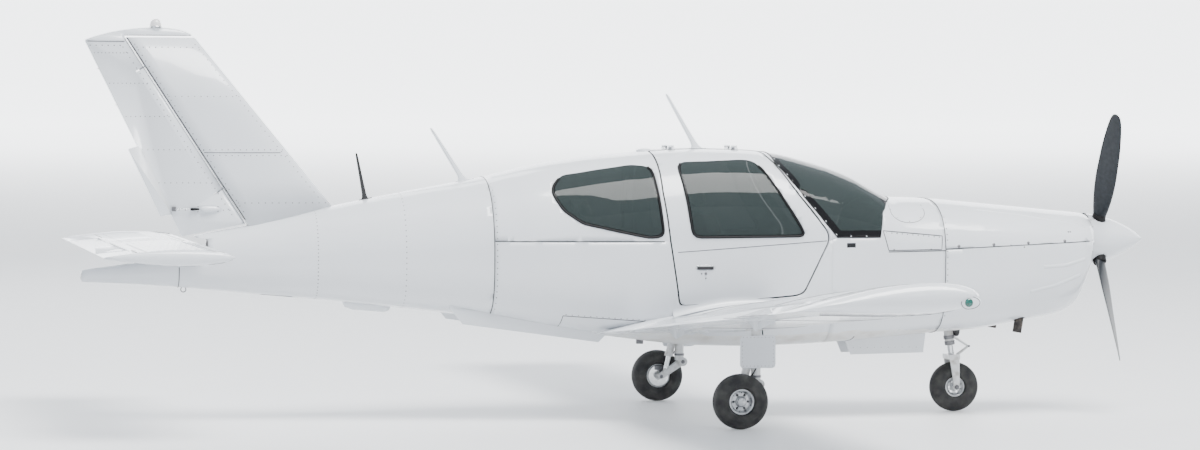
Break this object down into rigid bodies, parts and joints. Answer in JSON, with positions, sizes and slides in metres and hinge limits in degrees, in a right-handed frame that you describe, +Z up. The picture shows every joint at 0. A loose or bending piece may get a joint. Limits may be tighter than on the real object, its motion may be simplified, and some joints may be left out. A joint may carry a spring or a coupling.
{
  "type": "single-engined four-seat low-wing light aircraft with retractable gear",
  "caption": "White low-wing touring aircraft on its retractable tricycle gear, with lifting cabin doors, flaps, ailerons, rudder, all-moving tailplane and a turning propeller.",
  "frame": {"origin": "on the ground under the middle of the aircraft's bounding box", "axes": "+X towards the nose, +Y towards the port wing tip, +Z up"},
  "size_m": [7.71, 9.7706, 2.7978],
  "materials": {
    "white_paint": "white gloss paint on alloy skin",
    "white_plastic": "white gloss paint on moulded glass-fibre",
    "cabin_glass": "dark grey-green tinted acrylic",
    "engine_iron": "bare cast metal",
    "gear_steel": "white painted and bare steel",
    "propeller_slate": "dark slate satin paint",
    "wheel_alloy": "cast alloy",
    "tyre_rubber": "black rubber",
    "cream_leather": "cream leather",
    "panel_black": "matt black",
    "antenna_black": "black plastic",
    "lens_clear": "clear plastic dome"
  },
  "bodies": {
    "airframe": {"antenna_dark": "antenna_black", "antenna_rear": "white_plastic", "antenna_roof": "white_plastic", "cabin_tub": "white_paint", "cowl_lower": "white_plastic", "cowl_upper": "white_plastic", "engine": "engine_iron", "fin": "white_paint", "forward_fuselage": "white_paint", "front_seat_left": "cream_leather", "front_seat_right": "cream_leather", "instrument_panel": "panel_black", "main_gear_door_left": "white_paint", "main_gear_door_right": "white_paint", "main_leg_left": "gear_steel", "main_leg_right": "gear_steel", "nose_bay_door_left": "white_paint", "nose_bay_door_right": "white_paint", "nose_leg": "gear_steel", "rear_bench": "cream_leather", "rear_fuselage": "white_paint", "rear_window_left": "cabin_glass", "rear_window_right": "cabin_glass", "roof_frame": "white_paint", "strake_left": "white_plastic", "strake_right": "white_plastic", "windshield": "cabin_glass", "wing_left": "white_paint", "wing_right": "white_paint", "wing_tip_left": "white_plastic", "wing_tip_right": "white_plastic"},
    "propeller": {"propeller": "propeller_slate", "spinner": "white_plastic"},
    "nose_fork": {"nose_fork": "gear_steel"},
    "nose_wheel": {"nose_tyre": "tyre_rubber", "nose_rim": "wheel_alloy"},
    "main_wheel_left": {"main_left_tyre": "tyre_rubber", "main_left_rim": "wheel_alloy"},
    "main_wheel_right": {"main_right_tyre": "tyre_rubber", "main_right_rim": "wheel_alloy"},
    "door_left": {"door_left": "white_paint", "door_glass_left": "cabin_glass"},
    "door_right": {"door_right": "white_paint", "door_glass_right": "cabin_glass"},
    "luggage_door": {"luggage_door": "white_paint"},
    "flap_left": {"flap_left": "white_paint"},
    "flap_right": {"flap_right": "white_paint"},
    "aileron_left": {"aileron_left": "white_paint"},
    "aileron_right": {"aileron_right": "white_paint"},
    "rudder": {"rudder": "white_paint", "beacon": "lens_clear"},
    "stabilator": {"stabilator": "white_paint"},
    "anti_servo_tab": {"anti_servo_tab": "white_paint"}
  },
  "joints": [
    {"name": "propeller_turn", "type": "hinge", "parent": "airframe", "child": "propeller", "pos_m": [3.5, 0, 1.245], "axis": [1, 0, 0], "continuous": true},
    {"name": "nose_steering", "type": "hinge", "parent": "airframe", "child": "nose_fork", "pos_m": [2.385, 0, 0.6], "axis": [-0.1392, 0, 0.9903], "range_deg": [-20, 20]},
    {"name": "nose_wheel_turn", "type": "hinge", "parent": "nose_fork", "child": "nose_wheel", "pos_m": [2.43, 0, 0.178], "axis": [0, 1, 0], "continuous": true},
    {"name": "main_wheel_left_turn", "type": "hinge", "parent": "airframe", "child": "main_wheel_left", "pos_m": [0.52, 1.295, 0.19], "axis": [0, 1, 0], "continuous": true},
    {"name": "main_wheel_right_turn", "type": "hinge", "parent": "airframe", "child": "main_wheel_right", "pos_m": [0.52, -1.295, 0.19], "axis": [0, 1, 0], "continuous": true},
    {"name": "door_left_lift", "type": "hinge", "parent": "airframe", "child": "door_left", "pos_m": [0.53, 0.105, 1.911], "axis": [1, 0, 0], "range_deg": [0, 80]},
    {"name": "door_right_lift", "type": "hinge", "parent": "airframe", "child": "door_right", "pos_m": [0.53, -0.105, 1.911], "axis": [-1, 0, 0], "range_deg": [0, 80]},
    {"name": "luggage_door_lift", "type": "hinge", "parent": "airframe", "child": "luggage_door", "pos_m": [-0.655, 0.59342, 1.2182], "axis": [0.9877, 0.1561, 0], "range_deg": [0, 80]},
    {"name": "flap_left_drop", "type": "hinge", "parent": "airframe", "child": "flap_left", "pos_m": [0.13388, 2.125, 0.70902], "axis": [0, -0.9966, -0.0819], "range_deg": [0, 40]},
    {"name": "flap_right_drop", "type": "hinge", "parent": "airframe", "child": "flap_right", "pos_m": [0.13388, -2.125, 0.70902], "axis": [0, -0.9966, 0.0819], "range_deg": [0, 40]},
    {"name": "aileron_left_turn", "type": "hinge", "parent": "airframe", "child": "aileron_left", "pos_m": [0.13388, 4.075, 0.95931], "axis": [0, -0.9966, -0.0819], "range_deg": [-18, 18]},
    {"name": "aileron_right_turn", "type": "hinge", "parent": "airframe", "child": "aileron_right", "pos_m": [0.13388, -4.075, 0.95931], "axis": [0, -0.9966, 0.0819], "range_deg": [-18, 18]},
    {"name": "rudder_turn", "type": "hinge", "parent": "airframe", "child": "rudder", "pos_m": [-2.78138, 0, 1.4], "axis": [-0.5358, 0, 0.8444], "range_deg": [-25, 25]},
    {"name": "stabilator_turn", "type": "hinge", "parent": "airframe", "child": "stabilator", "pos_m": [-3.25, 0, 1.212], "axis": [0, 1, 0], "range_deg": [-8, 14]},
    {"name": "anti_servo_tab_turn", "type": "hinge", "parent": "stabilator", "child": "anti_servo_tab", "pos_m": [-3.662, 0, 1.212], "axis": [0, 1, 0], "range_deg": [-8, 12]}
  ],
  "couplings": [
    {"joint": "flap_right_drop", "follows": "flap_left_drop", "ratio": 1},
    {"joint": "aileron_right_turn", "follows": "aileron_left_turn", "ratio": -1},
    {"joint": "anti_servo_tab_turn", "follows": "stabilator_turn", "ratio": 0.8}
  ]
}
